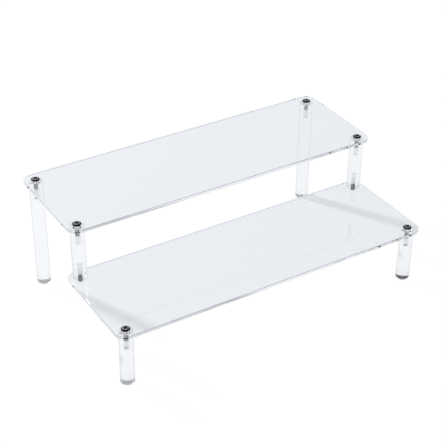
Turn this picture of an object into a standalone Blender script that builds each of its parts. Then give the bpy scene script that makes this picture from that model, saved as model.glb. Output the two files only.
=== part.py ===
"""Two-tier shelf riser in clear acrylic, a knock-down stand of sheets, round posts and machine screws.

Metres, +Z up. The origin is on the floor, in the middle of the footprint: +X runs along the shelves to the
right, and +Y runs from the low front shelf to the high rear shelf. Left and right are seen from the front.

Both shelves are the same sheet. The low one stands on two short legs at its front. Two short posts stand on
its rear holes and carry the front of the high one, whose rear stands on two tall legs. So four feet reach
the floor. Every post end that meets a sheet has a blind tapped bore, and a pan-head screw goes through the
sheet into it. The screws come from above, except the two that hold the posts from under the low shelf.
"""

import math

import bmesh
import bpy

# Sheets
SHELF_LENGTH = 0.300
SHELF_DEPTH = 0.100
SHELF_THICKNESS = 0.0028
CORNER_RADIUS = 0.010
EDGE_ROUND = 0.0004
HOLE_INSET = 0.010
HOLE_DIAMETER = 0.0045

# Posts and legs, turned from one rod
ROD_DIAMETER = 0.012
ROD_END_CHAMFER = 0.0004
SHORT_ROD = 0.050
BORE_DIAMETER = 0.0045
BORE_DEPTH = 0.015
BORE_MOUTH_CHAMFER = 0.0003

# Low pan-head M4 screws with a cross recess: x 10 from above, x 6 from under the low shelf
THREAD_DIAMETER = 0.0039
TOP_SCREW_LENGTH = 0.010
UNDER_SCREW_LENGTH = 0.006
THREAD_TIP_CHAMFER = 0.0005
HEAD_DIAMETER = 0.0075
HEAD_HEIGHT = 0.0013
HEAD_ROUNDNESS = 2.4
RECESS_SPAN = 0.0044
RECESS_ARM = 0.0012
RECESS_DEPTH = 0.0011
RECESS_FLOOR_SCALE = 0.55

# Refractive index of the clear pieces
ACRYLIC_IOR = 1.49

# Soft pads under the four legs
PAD_DIAMETER = 0.009
PAD_HEIGHT = 0.0015
PAD_ROUND = 0.0005

# Clearance left between pieces that touch
TOUCH_GAP = 0.0003

# Fineness of the round pieces
ROD_SEGMENTS = 40
SCREW_SEGMENTS = 28
PAD_SEGMENTS = 28
CORNER_STEPS = 8
DOME_STEPS = 6
PAD_STEPS = 3
EDGE_STEPS = 2
SHARP_ANGLE = math.radians(35)
BEVELLED_ANGLE = math.radians(60)

# Places that follow from the sizes above
HOLE_X = SHELF_LENGTH / 2 - HOLE_INSET
HOLE_Y = SHELF_DEPTH / 2 - HOLE_INSET
LOWER_UNDERSIDE = PAD_HEIGHT + SHORT_ROD
LOWER_TOP = LOWER_UNDERSIDE + SHELF_THICKNESS
UPPER_UNDERSIDE = LOWER_TOP + SHORT_ROD
UPPER_TOP = UPPER_UNDERSIDE + SHELF_THICKNESS
SIDES = (("left", -1), ("right", 1))


def clear_scene():
    """Remove every object that the file holds."""
    for old in list(bpy.data.objects):
        bpy.data.objects.remove(old, do_unlink=True)


def make_material(name, colour, roughness, metallic=0.0, transmission=0.0):
    """A Principled BSDF material; transmission is 1 for a clear piece."""
    material = bpy.data.materials.new(name)
    material.use_nodes = True
    shader = material.node_tree.nodes["Principled BSDF"]
    shader.inputs["Base Color"].default_value = (*colour, 1.0)
    shader.inputs["Roughness"].default_value = roughness
    shader.inputs["Metallic"].default_value = metallic
    shader.inputs["Transmission Weight"].default_value = transmission
    if transmission:
        shader.inputs["IOR"].default_value = ACRYLIC_IOR
    return material


def add_empty(name, location):
    """An empty that places one tier of the riser."""
    empty = bpy.data.objects.new(name, None)
    empty.location = location
    empty.empty_display_size = 0.02
    bpy.context.scene.collection.objects.link(empty)
    return empty


def add_object(name, mesh, parent, location, flipped=False):
    """One named piece, placed in its parent's frame; a flipped piece is turned upside down."""
    piece = bpy.data.objects.new(name, mesh)
    piece.parent = parent
    piece.location = location
    piece.rotation_euler = (math.pi if flipped else 0.0, 0.0, 0.0)
    bpy.context.scene.collection.objects.link(piece)
    return piece


def finish_mesh(shape, name, material):
    """Turn a bmesh into a mesh with outward faces, smooth on its rounds and sharp at its corners."""
    bmesh.ops.recalc_face_normals(shape, faces=shape.faces)
    mesh = bpy.data.meshes.new(name)
    shape.to_mesh(mesh)
    shape.free()
    mesh.materials.append(material)
    mesh.shade_smooth()
    mesh.set_sharp_from_angle(angle=SHARP_ANGLE)
    return mesh


def turned_mesh(name, profile, segments, material):
    """Turn a profile of (radius, height) points about Z. It starts and ends on the axis."""
    shape = bmesh.new()
    rings = []
    for radius, height in profile:
        if radius == 0.0:
            rings.append([shape.verts.new((0.0, 0.0, height))])
            continue
        angles = [2 * math.pi * step / segments for step in range(segments)]
        ring = [shape.verts.new((radius * math.cos(a), radius * math.sin(a), height)) for a in angles]
        rings.append(ring)
    for lower, upper in zip(rings, rings[1:]):
        for step in range(segments):
            after = (step + 1) % segments
            if len(lower) == 1:
                shape.faces.new((lower[0], upper[step], upper[after]))
            elif len(upper) == 1:
                shape.faces.new((lower[step], lower[after], upper[0]))
            else:
                shape.faces.new((lower[step], lower[after], upper[after], upper[step]))
    return finish_mesh(shape, name, material)


def prism_mesh(name, layers, material):
    """Join outlines of equal length, each a list of 3-D points, into one closed body."""
    shape = bmesh.new()
    rings = [[shape.verts.new(point) for point in layer] for layer in layers]
    for lower, upper in zip(rings, rings[1:]):
        for index in range(len(lower)):
            after = (index + 1) % len(lower)
            shape.faces.new((lower[index], lower[after], upper[after], upper[index]))
    shape.faces.new(rings[0])
    shape.faces.new(rings[-1])
    return finish_mesh(shape, name, material)


def rounded_rectangle(length, depth, radius, height):
    """Outline of a sheet at one height, with an arc at each corner."""
    points = []
    for quarter, (side_x, side_y) in enumerate(((1, 1), (-1, 1), (-1, -1), (1, -1))):
        centre_x = side_x * (length / 2 - radius)
        centre_y = side_y * (depth / 2 - radius)
        for step in range(CORNER_STEPS + 1):
            angle = math.pi / 2 * (quarter + step / CORNER_STEPS)
            x = centre_x + radius * math.cos(angle)
            y = centre_y + radius * math.sin(angle)
            points.append((x, y, height))
    return points


def shelf_mesh(material):
    """The sheet with its lower face at height 0."""
    lower = rounded_rectangle(SHELF_LENGTH, SHELF_DEPTH, CORNER_RADIUS, 0.0)
    upper = rounded_rectangle(SHELF_LENGTH, SHELF_DEPTH, CORNER_RADIUS, SHELF_THICKNESS)
    return prism_mesh("shelf_sheet", [lower, upper], material)


def hole_cutter_mesh(material):
    """Four upright pins, one through each screw hole of a sheet."""
    shape = bmesh.new()
    for side_x in (-1, 1):
        for side_y in (-1, 1):
            made = bmesh.ops.create_cone(
                shape,
                cap_ends=True,
                segments=SCREW_SEGMENTS,
                radius1=HOLE_DIAMETER / 2,
                radius2=HOLE_DIAMETER / 2,
                depth=SHELF_THICKNESS * 3,
            )
            offset = (side_x * HOLE_X, side_y * HOLE_Y, SHELF_THICKNESS / 2)
            bmesh.ops.translate(shape, verts=made["verts"], vec=offset)
    return finish_mesh(shape, "hole_pins", material)


def add_shelf(name, mesh, cutter_mesh, tier):
    """A sheet with polished edges and four screw holes."""
    shelf = add_object(name, mesh, tier, (0.0, 0.0, 0.0))
    cutter = add_object(name + "_hole_cutter", cutter_mesh, tier, (0.0, 0.0, 0.0))
    cutter.hide_render = True
    cutter.display_type = "WIRE"
    polish = shelf.modifiers.new("polished_edges", "BEVEL")
    polish.width = EDGE_ROUND
    polish.segments = EDGE_STEPS
    polish.limit_method = "ANGLE"
    polish.angle_limit = BEVELLED_ANGLE
    holes = shelf.modifiers.new("screw_holes", "BOOLEAN")
    holes.operation = "DIFFERENCE"
    holes.solver = "EXACT"
    holes.object = cutter
    return shelf


def bored_end(end, inward):
    """Profile of a rod end with a blind bore, from the bore's floor on the axis to the rod's outside."""
    bore = BORE_DIAMETER / 2
    rod = ROD_DIAMETER / 2
    return [
        (0.0, end + inward * BORE_DEPTH),
        (bore, end + inward * BORE_DEPTH),
        (bore, end + inward * BORE_MOUTH_CHAMFER),
        (bore + BORE_MOUTH_CHAMFER, end),
        (rod - ROD_END_CHAMFER, end),
        (rod, end + inward * ROD_END_CHAMFER),
    ]


def plain_end(end, inward):
    """Profile of a solid rod end, from the axis to the rod's outside."""
    rod = ROD_DIAMETER / 2
    return [
        (0.0, end),
        (rod - ROD_END_CHAMFER, end),
        (rod, end + inward * ROD_END_CHAMFER),
    ]


def leg_mesh(name, bottom, top, material):
    """A leg with a solid foot end and a tapped top."""
    profile = plain_end(bottom, 1) + bored_end(top, -1)[::-1]
    return turned_mesh(name, profile, ROD_SEGMENTS, material)


def post_mesh(name, bottom, top, material):
    """A post that is tapped at both ends."""
    profile = bored_end(bottom, 1) + bored_end(top, -1)[::-1]
    return turned_mesh(name, profile, ROD_SEGMENTS, material)


def cross_outline(span, arm, height):
    """A plus sign, as the recess of a screw head has at one height."""
    far = span / 2
    near = arm / 2
    corner = ((near, far), (near, near), (far, near))
    points = []
    for quarter in range(4):
        cosine = round(math.cos(math.pi / 2 * quarter))
        sine = round(math.sin(math.pi / 2 * quarter))
        # each quarter holds the same corner, turned and walked anticlockwise
        for x, y in reversed(corner):
            points.append((cosine * x - sine * y, sine * x + cosine * y, height))
    return points


def screw_mesh(length, material):
    """A screw of the given thread length, hanging down from its head, whose bearing face is at height 0."""
    thread = THREAD_DIAMETER / 2
    head = HEAD_DIAMETER / 2
    profile = [
        (0.0, -length),
        (thread - THREAD_TIP_CHAMFER, -length),
        (thread, THREAD_TIP_CHAMFER - length),
        (thread, 0.0),
    ]
    # the pan head's side is a superellipse that leaves the bearing face upright
    for step in range(DOME_STEPS):
        angle = math.pi / 2 * step / DOME_STEPS
        radius = head * math.cos(angle) ** (2 / HEAD_ROUNDNESS)
        profile.append((radius, HEAD_HEIGHT * math.sin(angle) ** (2 / HEAD_ROUNDNESS)))
    profile.append((0.0, HEAD_HEIGHT))
    blank_mesh = turned_mesh("screw_blank", profile, SCREW_SEGMENTS, material)
    blank = add_object("screw_blank", blank_mesh, None, (0.0, 0.0, 0.0))

    floor_height = HEAD_HEIGHT - RECESS_DEPTH
    layers = [
        cross_outline(RECESS_SPAN * RECESS_FLOOR_SCALE, RECESS_ARM * RECESS_FLOOR_SCALE, floor_height),
        cross_outline(RECESS_SPAN, RECESS_ARM, HEAD_HEIGHT + RECESS_DEPTH / 2),
    ]
    bit_mesh = prism_mesh("recess_bit", layers, material)
    bit = add_object("recess_bit", bit_mesh, None, (0.0, 0.0, 0.0))
    recess = blank.modifiers.new("recess", "BOOLEAN")
    recess.operation = "DIFFERENCE"
    recess.solver = "EXACT"
    recess.object = bit
    depsgraph = bpy.context.evaluated_depsgraph_get()
    mesh = bpy.data.meshes.new_from_object(blank.evaluated_get(depsgraph), depsgraph=depsgraph)
    mesh.name = "pan_head_screw"
    bpy.data.objects.remove(blank, do_unlink=True)
    bpy.data.objects.remove(bit, do_unlink=True)
    return mesh


def pad_mesh(material):
    """A soft pad that stands on the floor, with a rounded rim at its foot."""
    radius = PAD_DIAMETER / 2
    profile = [(0.0, 0.0)]
    for step in range(PAD_STEPS + 1):
        angle = math.pi / 2 * step / PAD_STEPS
        inset = PAD_ROUND * (1 - math.sin(angle))
        rise = PAD_ROUND * (1 - math.cos(angle))
        profile.append((radius - inset, rise))
    profile += [(radius, PAD_HEIGHT), (0.0, PAD_HEIGHT)]
    return turned_mesh("foot_pad", profile, PAD_SEGMENTS, material)


def build_lower_tier(shelf, cutter, acrylic, top_screw, under_screw, pad):
    """The low shelf with its two front legs, their pads, and its four screws."""
    tier = add_empty("lower_tier", (0.0, -HOLE_Y, LOWER_UNDERSIDE))
    add_shelf("lower_shelf", shelf, cutter, tier)
    leg = leg_mesh("short_leg", TOUCH_GAP - SHORT_ROD, -TOUCH_GAP, acrylic)
    for side, sign in SIDES:
        x = sign * HOLE_X
        add_object("front_leg_" + side, leg, tier, (x, -HOLE_Y, 0.0))
        add_object("front_foot_" + side, pad, tier, (x, -HOLE_Y, -LOWER_UNDERSIDE))
        add_object("lower_front_screw_" + side, top_screw, tier, (x, -HOLE_Y, SHELF_THICKNESS + TOUCH_GAP))
        add_object("lower_rear_screw_" + side, under_screw, tier, (x, HOLE_Y, -TOUCH_GAP), flipped=True)


def build_upper_tier(shelf, cutter, acrylic, top_screw, pad):
    """The high shelf with the posts and tall legs under it, the legs' pads, and its four screws."""
    tier = add_empty("upper_tier", (0.0, HOLE_Y, UPPER_UNDERSIDE))
    add_shelf("upper_shelf", shelf, cutter, tier)
    post = post_mesh("short_post", TOUCH_GAP - SHORT_ROD, -TOUCH_GAP, acrylic)
    leg = leg_mesh("tall_leg", PAD_HEIGHT + TOUCH_GAP - UPPER_UNDERSIDE, -TOUCH_GAP, acrylic)
    for side, sign in SIDES:
        x = sign * HOLE_X
        add_object("riser_post_" + side, post, tier, (x, -HOLE_Y, 0.0))
        add_object("rear_leg_" + side, leg, tier, (x, HOLE_Y, 0.0))
        add_object("rear_foot_" + side, pad, tier, (x, HOLE_Y, -UPPER_UNDERSIDE))
        add_object("upper_front_screw_" + side, top_screw, tier, (x, -HOLE_Y, SHELF_THICKNESS + TOUCH_GAP))
        add_object("upper_rear_screw_" + side, top_screw, tier, (x, HOLE_Y, SHELF_THICKNESS + TOUCH_GAP))


def main():
    clear_scene()
    acrylic = make_material("clear_acrylic", (0.95, 0.97, 1.0), 0.03, transmission=1.0)
    steel = make_material("dark_plated_steel", (0.12, 0.12, 0.12), 0.30, metallic=1.0)
    silicone = make_material("grey_silicone", (0.32, 0.33, 0.35), 0.55)
    shelf = shelf_mesh(acrylic)
    cutter = hole_cutter_mesh(acrylic)
    top_screw = screw_mesh(TOP_SCREW_LENGTH, steel)
    under_screw = screw_mesh(UNDER_SCREW_LENGTH, steel)
    pad = pad_mesh(silicone)
    build_lower_tier(shelf, cutter, acrylic, top_screw, under_screw, pad)
    build_upper_tier(shelf, cutter, acrylic, top_screw, pad)


main()
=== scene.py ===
"""Looks of the two-tier shelf riser: clear acrylic, dark pan-head screws and soft foot pads.

Metres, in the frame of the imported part: the origin is on the floor in the middle of the footprint,
+X runs to the right along the shelves, +Y from the low front shelf to the high rear one, and +Z up.
Every piece is built here from its own outline or profile, placed by the box of the CAD node that it
stands for, and rides on "root".
"""

import math

import bmesh
import bpy
from mathutils import Matrix, Vector


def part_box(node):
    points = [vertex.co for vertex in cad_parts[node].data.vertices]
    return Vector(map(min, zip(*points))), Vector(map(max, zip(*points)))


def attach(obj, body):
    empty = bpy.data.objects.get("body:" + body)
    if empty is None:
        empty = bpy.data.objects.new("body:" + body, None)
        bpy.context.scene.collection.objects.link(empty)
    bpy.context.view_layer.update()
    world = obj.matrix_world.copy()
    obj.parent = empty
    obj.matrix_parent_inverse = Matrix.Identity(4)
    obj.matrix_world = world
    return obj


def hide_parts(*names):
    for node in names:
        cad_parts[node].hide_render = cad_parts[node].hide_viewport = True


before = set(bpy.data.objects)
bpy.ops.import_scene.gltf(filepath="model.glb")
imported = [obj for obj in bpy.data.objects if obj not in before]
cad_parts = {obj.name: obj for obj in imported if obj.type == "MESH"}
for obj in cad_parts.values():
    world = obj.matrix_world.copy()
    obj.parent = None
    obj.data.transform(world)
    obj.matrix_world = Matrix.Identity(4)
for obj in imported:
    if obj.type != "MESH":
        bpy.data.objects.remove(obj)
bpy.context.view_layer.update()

SIDES = ("left", "right")

# Air left between pieces that touch
CONTACT = 0.00003

# Sheets
CORNER_RADIUS = 0.010
EDGE_ROUND = 0.0004
EDGE_STEPS = 5
CORNER_STEPS = 24
HOLE_DIAMETER = 0.0043
HOLE_ROUND = 0.00015
HOLE_SEGMENTS = 64
FLAT_FACE_WEIGHT = 50

# Posts and legs
ROD_DIAMETER = 0.012
ROD_END_ROUND = 0.0003
ROD_END_STEPS = 4
ROD_SEGMENTS = 128
BORE_DIAMETER = 0.0042
BORE_DEPTH = 0.015
BORE_FLOOR_ROUND = 0.00015
BORE_MOUTH_CHAMFER = 0.0003
TAPPED_DEPTH = 0.0146
TAP_RELIEF = 0.00005
# How fast the tapped thread deepens from the bore's floor and from its mouth, per tapped length
TAP_GROWTH = 5.0
TAP_MOUTH_GROWTH = 12.0

# Screws: M4 with a low pan head and a cross recess
THREAD_DIAMETER = 0.0039
THREAD_RELIEF = 0.00021
THREAD_PITCH = 0.0007
TOP_SCREW_LENGTH = 0.010
UNDER_SCREW_LENGTH = 0.006
THREAD_TIP = 0.0006
THREAD_NECK = 0.0004
RINGS_PER_TURN = 10
THREAD_SEGMENTS = 48
HEAD_DIAMETER = 0.0075
HEAD_HEIGHT = 0.0013
HEAD_ROUNDNESS = 2.4
HEAD_STEPS = 14
RECESS_SPAN = 0.0042
RECESS_ARM = 0.0013
RECESS_DEPTH = 0.0011
RECESS_FLOOR_SPAN = 0.0020
RECESS_FLOOR_ARM = 0.0008
RECESS_POINT = 0.0003
# Degrees that the cross of the left and the right screw is turned, row by row
CROSS_TURNS = {
    "upper_rear": (20, -35),
    "upper_front": (5, 40),
    "lower_front": (32, -12),
    "lower_rear": (0, 25),
}

# Foot pads
PAD_ROUND = 0.00045
PAD_DISH = 0.00012
PAD_DISH_SHARE = 0.55
PAD_STEPS = 5
PAD_SEGMENTS = 64

# Edges that bend by more degrees than this stay sharp
SHARP_ANGLE = 35.0
SCREW_SHARP_ANGLE = 32.0


# ---------------------------------------------------------------- mesh tools


def finish_mesh(shape, name, material):
    """A mesh with outward faces, smooth on its rounds and sharp at its corners."""
    bmesh.ops.recalc_face_normals(shape, faces=shape.faces)
    mesh = bpy.data.meshes.new(name)
    shape.to_mesh(mesh)
    shape.free()
    mesh.materials.append(material)
    mesh.shade_smooth()
    mesh.set_sharp_from_angle(angle=math.radians(SHARP_ANGLE))
    return mesh


def bridge(shape, lower, upper):
    """Quads, or triangles at a pole, between two rings."""
    count = max(len(lower), len(upper))
    for step in range(count):
        after = (step + 1) % count
        if len(lower) == 1:
            corners = (lower[0], upper[step], upper[after])
        elif len(upper) == 1:
            corners = (lower[step], lower[after], upper[0])
        else:
            corners = (lower[step], lower[after], upper[after], upper[step])
        shape.faces.new(corners)


def lathe(shape, profile, segments):
    """Turn (radius, height, relief) points about Z, where relief is the depth of a screw thread."""
    rings = []
    for radius, height, relief in profile:
        if radius == 0.0:
            rings.append([shape.verts.new((0.0, 0.0, height))])
            continue
        ring = []
        for step in range(segments):
            share = step / segments
            phase = (height / THREAD_PITCH - share) % 1.0
            # a V thread: straight flanks between a crest and a root
            reach = radius - relief * (1.0 - abs(2.0 * phase - 1.0))
            angle = 2 * math.pi * share
            x, y = reach * math.cos(angle), reach * math.sin(angle)
            ring.append(shape.verts.new((x, y, height)))
        rings.append(ring)
    for lower, upper in zip(rings, rings[1:]):
        bridge(shape, lower, upper)


def quarter_round(radius, steps):
    """(inset, rise) points of a quarter round, from the face it leaves to the wall it joins."""
    angles = [math.pi / 2 * step / steps for step in range(steps + 1)]
    return [(radius * (1 - math.sin(a)), radius * (1 - math.cos(a))) for a in angles]


def rounded_rectangle(length, depth, radius):
    """Outline of a sheet, anticlockwise, with an arc at each corner."""
    points = []
    for quarter, (side_x, side_y) in enumerate(((1, 1), (-1, 1), (-1, -1), (1, -1))):
        centre_x = side_x * (length / 2 - radius)
        centre_y = side_y * (depth / 2 - radius)
        for step in range(CORNER_STEPS + 1):
            angle = math.pi / 2 * (quarter + step / CORNER_STEPS)
            x, y = radius * math.cos(angle), radius * math.sin(angle)
            points.append((centre_x + x, centre_y + y))
    return points


def circle(centre, radius, segments):
    """Outline of a hole, anticlockwise."""
    x, y = centre
    angles = [2 * math.pi * step / segments for step in range(segments)]
    return [(x + radius * math.cos(a), y + radius * math.sin(a)) for a in angles]


def centre_of(node):
    """Middle of a CAD node's box."""
    low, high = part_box(node)
    return (low + high) / 2


def add_piece(node, suffix, mesh, location, turn=0.0, flipped=False):
    """A shown piece that stands for one CAD node and rides on the one body."""
    piece = bpy.data.objects.new(f"{node}_{suffix}", mesh)
    bpy.context.scene.collection.objects.link(piece)
    flip = Matrix.Rotation(math.pi if flipped else 0.0, 4, "X")
    piece.matrix_world = Matrix.Translation(location) @ flip @ Matrix.Rotation(turn, 4, "Z")
    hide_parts(node)
    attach(piece, "root")
    return piece


def even_normals(piece):
    """Let the large flat faces set the shading where they meet small rounds."""
    weighted = piece.modifiers.new("even_normals", "WEIGHTED_NORMAL")
    weighted.mode = "FACE_AREA"
    weighted.weight = FLAT_FACE_WEIGHT
    weighted.keep_sharp = True


# ---------------------------------------------------------------- sheets


def sheet_mesh(name, size, holes, material):
    """A sheet about the origin, with rounded corners, rounded edges and drilled holes."""
    shape = bmesh.new()

    def stack(outline_at, round_radius):
        """Rings from the lower face, round the edge, to the upper face."""
        rounds = quarter_round(round_radius, EDGE_STEPS)
        lower = [(inset, rise - size.z / 2) for inset, rise in rounds]
        layers = lower + [(inset, -height) for inset, height in reversed(lower)]
        rings = []
        for inset, height in layers:
            rings.append([shape.verts.new((x, y, height)) for x, y in outline_at(inset)])
        for below, above in zip(rings, rings[1:]):
            bridge(shape, below, above)
        return rings

    def rim(inset):
        return rounded_rectangle(size.x - 2 * inset, size.y - 2 * inset, CORNER_RADIUS - inset)

    stacks = [stack(rim, EDGE_ROUND)]
    for hole in holes:

        def bore(inset, centre=hole):
            return circle(centre, HOLE_DIAMETER / 2 + inset, HOLE_SEGMENTS)

        stacks.append(stack(bore, HOLE_ROUND))

    for level, normal in ((0, (0.0, 0.0, -1.0)), (-1, (0.0, 0.0, 1.0))):
        edges = []
        for rings in stacks:
            ring = rings[level]
            for index, vertex in enumerate(ring):
                edges.append(shape.edges.get((vertex, ring[(index + 1) % len(ring)])))
        bmesh.ops.triangle_fill(
            shape, use_beauty=True, use_dissolve=False, edges=edges, normal=normal
        )
    return finish_mesh(shape, name, material)


def add_sheet(name, material):
    """One shelf, with a hole wherever a screw goes through it."""
    low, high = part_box(name)
    centre = centre_of(name)
    tier = name.split("_")[0]
    holes = []
    for side in SIDES:
        for row in ("front", "rear"):
            middle = centre_of(f"{tier}_{row}_screw_{side}") - centre
            holes.append((middle.x, middle.y))
    mesh = sheet_mesh(name + "_sheet", high - low, holes, material)
    piece = add_piece(name, "sheet", mesh, centre)
    even_normals(piece)
    # lamps and scattered light pass a clear sheet as if it weren't there
    piece.visible_shadow = False
    piece.visible_diffuse = False


# ---------------------------------------------------------------- posts and legs


def bored_end():
    """Profile of a tapped rod end at height 0, from the bore's floor out to the rod's wall."""
    bore = BORE_DIAMETER / 2
    rod = ROD_DIAMETER / 2
    profile = [(0.0, BORE_DEPTH, 0.0)]
    for inset, rise in quarter_round(BORE_FLOOR_ROUND, EDGE_STEPS):
        profile.append((bore - inset, BORE_DEPTH - rise, 0.0))
    count = round((TAPPED_DEPTH - BORE_MOUTH_CHAMFER) / THREAD_PITCH * RINGS_PER_TURN)
    for step in range(count + 1):
        share = step / count
        height = TAPPED_DEPTH + (BORE_MOUTH_CHAMFER - TAPPED_DEPTH) * share
        fade = min(1.0, TAP_GROWTH * share, TAP_MOUTH_GROWTH * (1.0 - share))
        profile.append((bore, height, TAP_RELIEF * fade))
    profile.append((bore + BORE_MOUTH_CHAMFER, 0.0, 0.0))
    for inset, rise in quarter_round(ROD_END_ROUND, ROD_END_STEPS):
        profile.append((rod - inset, rise, 0.0))
    return profile


def plain_end():
    """Profile of a solid rod end at height 0, from the axis out to the rod's wall."""
    rod = ROD_DIAMETER / 2
    rounds = quarter_round(ROD_END_ROUND, ROD_END_STEPS)
    return [(0.0, 0.0, 0.0)] + [(rod - inset, rise, 0.0) for inset, rise in rounds]


def rod_mesh(name, length, bottom, material):
    """A rod standing on height 0, tapped at its top and with the given profile at its bottom."""
    shape = bmesh.new()
    top = [(radius, length - height, relief) for radius, height, relief in reversed(bored_end())]
    lathe(shape, bottom + top, ROD_SEGMENTS)
    return finish_mesh(shape, name, material)


def add_rod(name, mesh, foot):
    """A leg or post, standing with its foot at a height in the place of its CAD node."""
    centre = centre_of(name)
    piece = add_piece(name, "rod", mesh, (centre.x, centre.y, foot))
    even_normals(piece)


# ---------------------------------------------------------------- screws


def cross_outline(span, arm, height):
    """A plus sign, as the recess of a screw head has at one height."""
    far = span / 2
    near = arm / 2
    points = []
    for quarter in range(4):
        cosine = round(math.cos(math.pi / 2 * quarter))
        sine = round(math.sin(math.pi / 2 * quarter))
        # each quarter holds the same corner, turned and walked anticlockwise
        for x, y in ((far, near), (near, near), (near, far)):
            points.append((cosine * x - sine * y, sine * x + cosine * y, height))
    return points


def recess_bit_mesh(material):
    """The tip that presses the recess: four tapered wings that end in a low point."""
    shape = bmesh.new()
    floor_height = HEAD_HEIGHT - RECESS_DEPTH
    slope = (RECESS_SPAN - RECESS_FLOOR_SPAN) / RECESS_DEPTH
    widen = (RECESS_ARM - RECESS_FLOOR_ARM) / RECESS_DEPTH
    clear = RECESS_DEPTH / 2
    top_span = RECESS_SPAN + slope * clear
    top_arm = RECESS_ARM + widen * clear
    layers = [
        cross_outline(RECESS_FLOOR_SPAN, RECESS_FLOOR_ARM, floor_height),
        cross_outline(top_span, top_arm, HEAD_HEIGHT + clear),
    ]
    rings = [[shape.verts.new(point) for point in layer] for layer in layers]
    bridge(shape, rings[0], rings[1])
    bridge(shape, [shape.verts.new((0.0, 0.0, floor_height - RECESS_POINT))], rings[0])
    shape.faces.new(rings[1])
    return finish_mesh(shape, "recess_bit", material)


def screw_profile(length):
    """Profile of a screw whose head bears at height 0, from the thread's tip up to the crown."""
    thread = THREAD_DIAMETER / 2
    root = thread - THREAD_RELIEF
    head = HEAD_DIAMETER / 2
    profile = [(0.0, -length, 0.0), (root - THREAD_TIP / 2, -length, 0.0)]
    threaded = length - THREAD_NECK
    count = round(threaded / THREAD_PITCH * RINGS_PER_TURN)
    for step in range(1, count + 1):
        height = -length + threaded * step / count
        tip = min(1.0, (height + length) / THREAD_TIP)
        neck = min(1.0, (-THREAD_NECK - height) / THREAD_NECK)
        crest = thread - (1.0 - tip) * THREAD_TIP / 2 - (1.0 - neck) * THREAD_RELIEF
        profile.append((crest, height, THREAD_RELIEF * min(tip, neck)))
    profile.append((root, 0.0, 0.0))
    # the head's side is a superellipse that leaves the bearing face upright
    for step in range(HEAD_STEPS):
        angle = math.pi / 2 * step / HEAD_STEPS
        radius = head * math.cos(angle) ** (2 / HEAD_ROUNDNESS)
        profile.append((radius, HEAD_HEIGHT * math.sin(angle) ** (2 / HEAD_ROUNDNESS), 0.0))
    profile.append((0.0, HEAD_HEIGHT, 0.0))
    return profile


def screw_mesh(length, material):
    """A screw hanging from its head, with a rolled V thread and a pressed cross recess."""
    shape = bmesh.new()
    lathe(shape, screw_profile(length), THREAD_SEGMENTS)
    blank = bpy.data.objects.new("screw_blank", finish_mesh(shape, "screw_blank", material))
    bit = bpy.data.objects.new("recess_bit", recess_bit_mesh(material))
    for helper in (blank, bit):
        bpy.context.scene.collection.objects.link(helper)
    recess = blank.modifiers.new("recess", "BOOLEAN")
    recess.operation = "DIFFERENCE"
    recess.solver = "EXACT"
    recess.object = bit
    depsgraph = bpy.context.evaluated_depsgraph_get()
    cut = blank.evaluated_get(depsgraph)
    mesh = bpy.data.meshes.new_from_object(cut, depsgraph=depsgraph)
    mesh.name = "pan_head_screw"
    for helper in (blank, bit):
        bpy.data.objects.remove(helper, do_unlink=True)
    mesh.shade_smooth()
    mesh.set_sharp_from_angle(angle=math.radians(SCREW_SHARP_ANGLE))
    return mesh


# ---------------------------------------------------------------- pads


def pad_mesh(diameter, height, material):
    """A soft disc that stands on the floor, rounded at both rims, with a shallow dish under it."""
    radius = diameter / 2
    rim = quarter_round(PAD_ROUND, PAD_STEPS)
    profile = [(0.0, PAD_DISH, 0.0), (radius * PAD_DISH_SHARE, PAD_DISH, 0.0)]
    profile += [(radius - inset, rise, 0.0) for inset, rise in rim]
    profile += [(radius - inset, height - rise, 0.0) for inset, rise in reversed(rim)]
    profile.append((0.0, height, 0.0))
    shape = bmesh.new()
    lathe(shape, profile, PAD_SEGMENTS)
    return finish_mesh(shape, "foot_pad", material)


# ---------------------------------------------------------------- materials

# A noise is its scale along each axis, its detail and its roughness, and a reach is the pair of its
# values between which it comes in. A bump is a strength and a depth.
SCUFFS = ((900.0, 120.0, 300.0), 4.0, 0.6)
SCUFFS_REACH = (0.55, 0.75)
DUST = ((700.0, 700.0, 700.0), 2.0, 0.5)
DUST_REACH = (0.5, 0.7)
SHEET_WAVES = ((40.0, 40.0, 40.0), 2.0, 0.4)
ROD_DRAW_LINES = ((700.0, 700.0, 25.0), 2.0, 0.4)
ACRYLIC_BUMP = (0.05, 0.0002)
ACRYLIC_IOR = 1.49
WORN_ROUGHNESS = 0.05

SHEET_TINT = (0.94, 0.95, 0.965, 1.0)
# Painted shade on the rounds of a sheet's edges and holes, darkest on those that face the front
FRONT_ARRIS_PAINTED_SHADE = (0.29, 0.29, 0.31, 1.0)
OTHER_ARRIS_PAINTED_SHADE = (0.90, 0.91, 0.92, 1.0)
ROD_TINT = (1.0, 1.0, 1.0, 1.0)
# Painted shade on a rod's slanted rounds at its ends and in its bore, and towards its outline
ROD_RIM_PAINTED_SHADE = (0.78, 0.78, 0.80, 1.0)
ROD_OUTLINE_PAINTED_SHADE = (0.24, 0.24, 0.26, 1.0)

# Where a colour or a painted shade comes in, between two values of a face's slope or of how it turns
# away from the eye
LEAVES_WALL = (0.02, 0.12)
LEAVES_FACE = (0.999, 0.97)
LEAVES_FRONT = (-0.1, 0.1)
SIDEWAYS_WEIGHT = 2.0
TURNS_AWAY = (0.55, 0.95)

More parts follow.
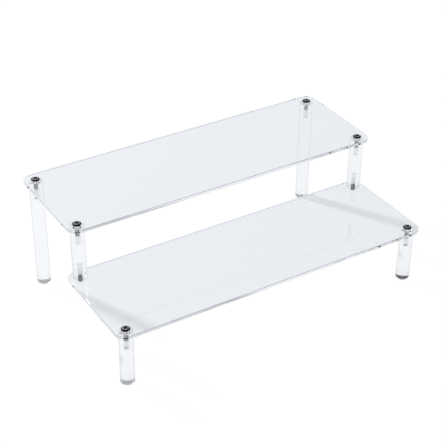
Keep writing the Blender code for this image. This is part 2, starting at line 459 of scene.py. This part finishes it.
ROUGHNESS_AND_HIGHLIGHT_PATCHES = ((900.0, 900.0, 900.0), 3.0, 0.55)
PATCHES_REACH = (0.35, 0.65)
TURNED_GRAIN = ((300.0, 300.0, 9000.0), 2.0, 0.5)
STEEL_BUMP = (0.15, 0.00002)
PLATED = (0.004, 0.004, 0.0045, 1.0)
# Painted highlight on the crown of a head, between a dim and a bright colour
PAINTED_HIGHLIGHT_DIM = (0.20, 0.20, 0.197, 1.0)
PAINTED_HIGHLIGHT_BRIGHT = (0.56, 0.555, 0.547, 1.0)
# Painted light on the thread, of the top screws and of the screws under the low shelf
TOP_THREAD_PAINTED_LIGHT = (0.45, 0.45, 0.46, 1.0)
UNDER_THREAD_PAINTED_LIGHT = (0.20, 0.20, 0.205, 1.0)
STEEL_ROUGHNESS = (0.28, 0.42)
CROWN_POLISH = -0.12
CROWN_START = (0.78 * HEAD_HEIGHT, 0.84 * HEAD_HEIGHT)
THREAD_START = (-0.0004, -0.0008)
RECESS_SHADE = 0.00006

PAD_DUST = ((1500.0, 1500.0, 1500.0), 4.0, 0.6)
PAD_DUST_REACH = (0.4, 0.62)
PAD_BUMP = (0.2, 0.00003)
PAD_ROUGHNESS = (0.42, 0.62)
ROUGHNESS_REACH = (0.3, 0.7)
# Clean and dusty colours of the silicone
PALE_SILICONE = ((0.34, 0.343, 0.35, 1.0), (0.60, 0.603, 0.61, 1.0))
DARK_SILICONE = ((0.03, 0.031, 0.034, 1.0), (0.10, 0.102, 0.106, 1.0))
WASHED_OUT = (0.85, 0.855, 0.87, 1.0)
# Walls of acrylic between the eye and a pad, above which the pad is washed out
WALLS_CROSSED = (2.5, 3.5)


class Nodes:
    """Short-hand for building a material's or a world's node tree."""

    def __init__(self, owner):
        owner.use_nodes = True
        self.tree = owner.node_tree
        self.tree.nodes.clear()

    def put(self, socket, value):
        """Link a socket, or set its plain value."""
        if isinstance(value, bpy.types.NodeSocket):
            self.tree.links.new(value, socket)
        else:
            socket.default_value = value

    def add(self, kind, inputs=None, **settings):
        """A node, with its settings and its inputs."""
        node = self.tree.nodes.new(kind)
        for key, value in settings.items():
            setattr(node, key, value)
        for key, value in (inputs or {}).items():
            self.put(node.inputs[key], value)
        return node

    def maths(self, operation, *values):
        return self.add("ShaderNodeMath", dict(enumerate(values)), operation=operation).outputs[0]

    def place(self):
        """A point in its piece's own axes."""
        return self.add("ShaderNodeTexCoord").outputs["Object"]

    def noise(self, scale, detail, roughness):
        """A noise that is drawn out along the axis on which its scale is smallest."""
        place = self.add("ShaderNodeMapping", {"Vector": self.place(), "Scale": scale}).outputs[0]
        inputs = {"Vector": place, "Scale": 1.0, "Detail": detail, "Roughness": roughness}
        return self.add("ShaderNodeTexNoise", inputs).outputs["Fac"]

    def remap(self, value, low, high, new_low=0.0, new_high=1.0):
        inputs = {0: value, 1: low, 2: high, 3: new_low, 4: new_high}
        return self.add("ShaderNodeMapRange", inputs).outputs[0]

    def mix(self, factor, first, second):
        inputs = {0: factor, 6: first, 7: second}
        return self.add("ShaderNodeMix", inputs, data_type="RGBA", clamp_factor=True).outputs[2]

    def bump(self, height, strength, distance):
        inputs = {"Height": height, "Strength": strength, "Distance": distance}
        return self.add("ShaderNodeBump", inputs).outputs[0]

    def light_path(self, output):
        return self.add("ShaderNodeLightPath").outputs[output]

    def surface(self, shader, kind="ShaderNodeOutputMaterial"):
        self.add(kind, {"Surface": shader.outputs[0]})


def face_direction(nodes):
    """X, Y and Z of the way that a face looks."""
    normal = nodes.add("ShaderNodeNewGeometry").outputs["True Normal"]
    return nodes.add("ShaderNodeSeparateXYZ", {0: normal})


def slanted(nodes, normal):
    """1 on the small rounds between upright walls and level faces, and 0 on both of those."""
    upright = nodes.maths("ABSOLUTE", normal.outputs[2])
    leaves_wall = nodes.remap(upright, *LEAVES_WALL)
    leaves_face = nodes.remap(upright, *LEAVES_FACE)
    return nodes.maths("MULTIPLY", leaves_wall, leaves_face)


def sheet_tint_and_painted_edge_shade(nodes):
    """Clear on a sheet's faces and wall, with painted shade on its rounds, darkest on those that
    face the front.
    """
    normal = face_direction(nodes)
    # the rounds along the other three edges get a fainter painted shade
    sideways = nodes.maths("ABSOLUTE", normal.outputs[0])
    sideways = nodes.maths("MULTIPLY", sideways, SIDEWAYS_WEIGHT)
    not_front = nodes.remap(nodes.maths("ADD", normal.outputs[1], sideways), *LEAVES_FRONT)
    painted_arris_shade = nodes.mix(not_front, FRONT_ARRIS_PAINTED_SHADE, OTHER_ARRIS_PAINTED_SHADE)
    return nodes.mix(slanted(nodes, normal), SHEET_TINT, painted_arris_shade)


def rod_tint_and_painted_shade(nodes):
    """Clear where a rod is seen head on, with painted shade towards its outline and at its rims."""
    grazing = nodes.add("ShaderNodeLayerWeight", {"Blend": 0.5}).outputs["Facing"]
    wall = nodes.mix(nodes.remap(grazing, *TURNS_AWAY), ROD_TINT, ROD_OUTLINE_PAINTED_SHADE)
    return nodes.mix(slanted(nodes, face_direction(nodes)), wall, ROD_RIM_PAINTED_SHADE)


def acrylic_material(name, waves, tint_and_painted_shade):
    """Clear cast acrylic, with faint waves or draw lines in its surface."""
    material = bpy.data.materials.new(name)
    nodes = Nodes(material)
    # hairline scuffs and dust, only where two noises agree
    scuffs = nodes.remap(nodes.noise(*SCUFFS), *SCUFFS_REACH)
    dust = nodes.remap(nodes.noise(*DUST), *DUST_REACH)
    wear_and_painted_highlight = nodes.maths("MULTIPLY", scuffs, dust)
    shader = nodes.add(
        "ShaderNodeBsdfPrincipled",
        {
            # the base colour carries painted shade on the rounds, and on a rod towards its outline
            "Base Color": tint_and_painted_shade(nodes),
            "Metallic": 0.0,
            "Roughness": nodes.remap(wear_and_painted_highlight, 0.0, 1.0, 0.0, WORN_ROUGHNESS),
            "IOR": ACRYLIC_IOR,
            "Transmission Weight": 1.0,
            "Normal": nodes.bump(nodes.noise(*waves), *ACRYLIC_BUMP),
        },
    )
    nodes.surface(shader)
    return material


def in_recess(nodes, axes):
    """1 inside the outline of the cross recess, seen along the screw's axis, and 0 outside it."""
    across = nodes.maths("ABSOLUTE", axes.outputs[0])
    along = nodes.maths("ABSOLUTE", axes.outputs[1])
    arms = []
    for narrow, wide in ((across, along), (along, across)):
        beside = nodes.maths("LESS_THAN", narrow, RECESS_ARM / 2 + RECESS_SHADE)
        within = nodes.maths("LESS_THAN", wide, RECESS_SPAN / 2 + RECESS_SHADE)
        arms.append(nodes.maths("MULTIPLY", beside, within))
    return nodes.maths("MAXIMUM", *arms)


def steel_material(name, thread_painted_light):
    """Dark plated steel: glossy, with a faint turned grain, patchy roughness, a patchy painted
    highlight on its crown and painted light on its thread.
    """
    material = bpy.data.materials.new(name)
    nodes = Nodes(material)
    patches = nodes.noise(*ROUGHNESS_AND_HIGHLIGHT_PATCHES)
    grain = nodes.noise(*TURNED_GRAIN)
    # the crown gets a painted highlight and the thread painted light; the rim and the recess keep
    # the dark plating
    axes = nodes.add("ShaderNodeSeparateXYZ", {0: nodes.place()})
    height = axes.outputs[2]
    crown = nodes.remap(height, *CROWN_START)
    thread = nodes.remap(height, *THREAD_START)
    # a patchy painted highlight on the crown, kept out of the cross recess
    wear_and_painted_highlight = nodes.mix(nodes.remap(patches, *PATCHES_REACH), PAINTED_HIGHLIGHT_DIM, PAINTED_HIGHLIGHT_BRIGHT)
    outside_recess = nodes.maths("SUBTRACT", 1.0, in_recess(nodes, axes))
    colour = nodes.mix(nodes.maths("MULTIPLY", crown, outside_recess), PLATED, wear_and_painted_highlight)
    # painted light on the thread
    colour = nodes.mix(thread, colour, thread_painted_light)
    roughness = nodes.remap(patches, *ROUGHNESS_REACH, *STEEL_ROUGHNESS)
    polish = nodes.maths("MULTIPLY", crown, CROWN_POLISH)
    shader = nodes.add(
        "ShaderNodeBsdfPrincipled",
        {
            "Base Color": colour,
            "Metallic": 1.0,
            "Roughness": nodes.maths("ADD", roughness, polish),
            "Normal": nodes.bump(grain, *STEEL_BUMP),
        },
    )
    nodes.surface(shader)
    return material


def silicone_material(name, clean, dusty):
    """Grey silicone with a matt, slightly dusty skin."""
    material = bpy.data.materials.new(name)
    nodes = Nodes(material)
    dust = nodes.noise(*PAD_DUST)
    colour = nodes.mix(nodes.remap(dust, *PAD_DUST_REACH), clean, dusty)
    # stray light washes a pad out where it is seen down through a sheet and the length of a rod
    walls = nodes.light_path("Transmission Depth")
    colour = nodes.mix(nodes.remap(walls, *WALLS_CROSSED), colour, WASHED_OUT)
    shader = nodes.add(
        "ShaderNodeBsdfPrincipled",
        {
            "Base Color": colour,
            "Roughness": nodes.remap(dust, *ROUGHNESS_REACH, *PAD_ROUGHNESS),
            "Normal": nodes.bump(dust, *PAD_BUMP),
        },
    )
    nodes.surface(shader)
    return material


# ---------------------------------------------------------------- studio

# What the eye meets straight on, slightly overexposed, and what shows through and in the acrylic
TO_CAMERA = (1.0, 1.0, 1.0, 1.0)
GLOW_THROUGH = (0.76, 0.775, 0.80, 1.0)
HORIZON = (0.93, 0.94, 0.95, 1.0)
SKY_MIDDLE = (0.71, 0.72, 0.74, 1.0)
SKY_HIGH = (0.90, 0.905, 0.91, 1.0)
# Degrees above the horizon between which the sky changes
HORIZON_TO_MIDDLE = (10, 24)
MIDDLE_TO_HIGH = (50, 75)

TABLE_REACH = 6.0
TABLE_PAINT = (0.85, 0.86, 0.88, 1.0)
# Share of the paint, which takes shadows, in what shows through acrylic and what the camera sees
SHADOWS_THROUGH = 0.20
SHADOWS_TO_CAMERA = 0.02

# The key lamp. Azimuth 0 is over +Y, and it turns towards +X.
KEY_AZIMUTH = -25.5
KEY_ELEVATION = 38.0
KEY_DISTANCE = 2.8
KEY_SIZE = 0.20
KEY_POWER = 118.0

# The camera. Azimuth 0 is over -Y, and it turns towards +X.
CAMERA_AZIMUTH = -31.97
CAMERA_ELEVATION = 33.43
CAMERA_ROLL = 0.64
CAMERA_PLACE = (-0.4734, -0.7576, 0.6494)
CAMERA_LENS = 98.31
CAMERA_SENSOR = 36.0
CAMERA_CLIP = (0.01, 50.0)

# Light runs along the edges of a sheet for hundreds of bounces before it leaves at a corner
EDGE_BOUNCES = 600
TRANSMISSION_BOUNCES = 32
DIFFUSE_BOUNCES = 3
BRIGHTEST_INDIRECT = 4.0


def build_world():
    """White to the camera; to other rays a pale horizon under a sky that is darker half way up."""
    world = bpy.data.worlds.new("studio")
    bpy.context.scene.world = world
    nodes = Nodes(world)
    direction = nodes.add("ShaderNodeTexCoord").outputs["Generated"]
    height = nodes.add("ShaderNodeSeparateXYZ", {0: direction}).outputs[2]

    def climb(angles):
        low, high = (math.sin(math.radians(angle)) for angle in angles)
        return nodes.remap(height, low, high)

    low_sky = nodes.mix(climb(HORIZON_TO_MIDDLE), HORIZON, SKY_MIDDLE)
    sky = nodes.mix(climb(MIDDLE_TO_HIGH), low_sky, SKY_HIGH)
    colour = nodes.mix(nodes.light_path("Is Camera Ray"), sky, TO_CAMERA)
    background = nodes.add("ShaderNodeBackground", {"Color": colour, "Strength": 1.0})
    nodes.surface(background, "ShaderNodeOutputWorld")


def table_material():
    """A pale table that glows a little, so that its shadows show mostly through the acrylic."""
    material = bpy.data.materials.new("pale_table")
    nodes = Nodes(material)
    camera_ray = nodes.light_path("Is Camera Ray")
    colour = nodes.mix(camera_ray, GLOW_THROUGH, TO_CAMERA)
    glow = nodes.add("ShaderNodeEmission", {"Color": colour})
    paint = nodes.add("ShaderNodeBsdfDiffuse", {"Color": TABLE_PAINT})
    share = nodes.remap(camera_ray, 0.0, 1.0, SHADOWS_THROUGH, SHADOWS_TO_CAMERA)
    inputs = {0: share, 1: glow.outputs[0], 2: paint.outputs[0]}
    nodes.surface(nodes.add("ShaderNodeMixShader", inputs))
    return material


def build_table():
    """One large sheet of table under the riser."""
    reach = TABLE_REACH
    shape = bmesh.new()
    corners = [(-reach, -reach), (reach, -reach), (reach, reach), (-reach, reach)]
    shape.faces.new([shape.verts.new((x, y, -CONTACT)) for x, y in corners])
    table = bpy.data.objects.new("table", finish_mesh(shape, "table", table_material()))
    bpy.context.scene.collection.objects.link(table)


def build_key_lamp():
    """A square soft box behind the riser on the left, so that shadows fall to the front right."""
    turn = math.radians(KEY_AZIMUTH)
    rise = math.radians(KEY_ELEVATION)
    level = math.cos(rise)
    place = Vector((math.sin(turn) * level, math.cos(turn) * level, math.sin(rise)))
    light = bpy.data.lights.new("key", "AREA")
    light.shape = "SQUARE"
    light.size = KEY_SIZE
    light.energy = KEY_POWER
    lamp = bpy.data.objects.new("key", light)
    bpy.context.scene.collection.objects.link(lamp)
    lamp.location = place * KEY_DISTANCE
    lamp.rotation_mode = "QUATERNION"
    lamp.rotation_quaternion = place.to_track_quat("Z", "Y")


def build_camera():
    """The camera looks down at the riser from the front left."""
    turn = math.radians(CAMERA_AZIMUTH)
    rise = math.radians(CAMERA_ELEVATION)
    level = math.cos(rise)
    back = Vector((math.sin(turn) * level, -math.cos(turn) * level, math.sin(rise)))
    right = (-back).cross(Vector((0.0, 0.0, 1.0))).normalized()
    axes = Matrix((right, back.cross(right), back)).transposed().to_4x4()
    roll = Matrix.Rotation(math.radians(CAMERA_ROLL), 4, "Z")
    data = bpy.data.cameras.new("camera")
    data.lens = CAMERA_LENS
    data.sensor_width = CAMERA_SENSOR
    data.clip_start, data.clip_end = CAMERA_CLIP
    camera = bpy.data.objects.new("camera", data)
    bpy.context.scene.collection.objects.link(camera)
    camera.matrix_world = Matrix.Translation(CAMERA_PLACE) @ axes @ roll
    bpy.context.scene.camera = camera


def set_light_paths():
    """Enough bounces for light that crosses several sheets and runs along their edges."""
    scene = bpy.context.scene
    scene.view_settings.view_transform = "Standard"
    scene.cycles.max_bounces = EDGE_BOUNCES
    scene.cycles.transmission_bounces = TRANSMISSION_BOUNCES
    scene.cycles.glossy_bounces = EDGE_BOUNCES
    scene.cycles.diffuse_bounces = DIFFUSE_BOUNCES
    scene.cycles.sample_clamp_indirect = BRIGHTEST_INDIRECT


# ---------------------------------------------------------------- assembly


def build_sheets():
    material = acrylic_material("clear_sheet", SHEET_WAVES, sheet_tint_and_painted_edge_shade)
    for name in ("upper_shelf", "lower_shelf"):
        add_sheet(name, material)


def build_rods():
    material = acrylic_material("clear_rod", ROD_DRAW_LINES, rod_tint_and_painted_shade)
    lower_low, lower_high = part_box("lower_shelf")
    upper_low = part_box("upper_shelf")[0]
    # a leg sinks a hair into the adhesive of its pad, a post stands clear of the sheet under it
    leg_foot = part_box("front_foot_left")[1].z - CONTACT
    post_foot = lower_high.z + CONTACT
    rods = (
        ("front_leg", leg_foot, lower_low.z, plain_end()),
        ("rear_leg", leg_foot, upper_low.z, plain_end()),
        ("riser_post", post_foot, upper_low.z, bored_end()),
    )
    for kind, foot, ceiling, bottom in rods:
        mesh = rod_mesh(kind, ceiling - CONTACT - foot, bottom, material)
        for side in SIDES:
            add_rod(f"{kind}_{side}", mesh, foot)


def build_screws():
    # the screws under the low shelf get less painted light on their thread
    top_steel = steel_material("dark_plated_steel", TOP_THREAD_PAINTED_LIGHT)
    under_steel = steel_material("dark_plated_steel_under", UNDER_THREAD_PAINTED_LIGHT)
    top_screw = screw_mesh(TOP_SCREW_LENGTH, top_steel)
    under_screw = screw_mesh(UNDER_SCREW_LENGTH, under_steel)
    for row, turns in CROSS_TURNS.items():
        below = row == "lower_rear"
        mesh = under_screw if below else top_screw
        sheet_low, sheet_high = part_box(row.split("_")[0] + "_shelf")
        seat = sheet_low.z - CONTACT if below else sheet_high.z + CONTACT
        for side, degrees in zip(SIDES, turns):
            name = f"{row}_screw_{side}"
            centre = centre_of(name)
            place = (centre.x, centre.y, seat)
            turn = math.radians(degrees)
            add_piece(name, "m4", mesh, place, turn=turn, flipped=below)


def build_pads():
    low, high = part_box("front_foot_left")
    size = high - low
    pale_pad = pad_mesh(size.x, size.z, silicone_material("grey_silicone", *PALE_SILICONE))
    dark_pad = pad_mesh(size.x, size.z, silicone_material("grey_silicone_dark", *DARK_SILICONE))
    for row in ("front", "rear"):
        for side in SIDES:
            name = f"{row}_foot_{side}"
            centre = centre_of(name)
            place = (centre.x, centre.y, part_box(name)[0].z)
            # the front right pad is the darkest of the four
            mesh = dark_pad if name == "front_foot_right" else pale_pad
            add_piece(name, "pad", mesh, place)


build_sheets()
build_rods()
build_screws()
build_pads()
build_world()
build_table()
build_key_lamp()
build_camera()
set_light_paths()
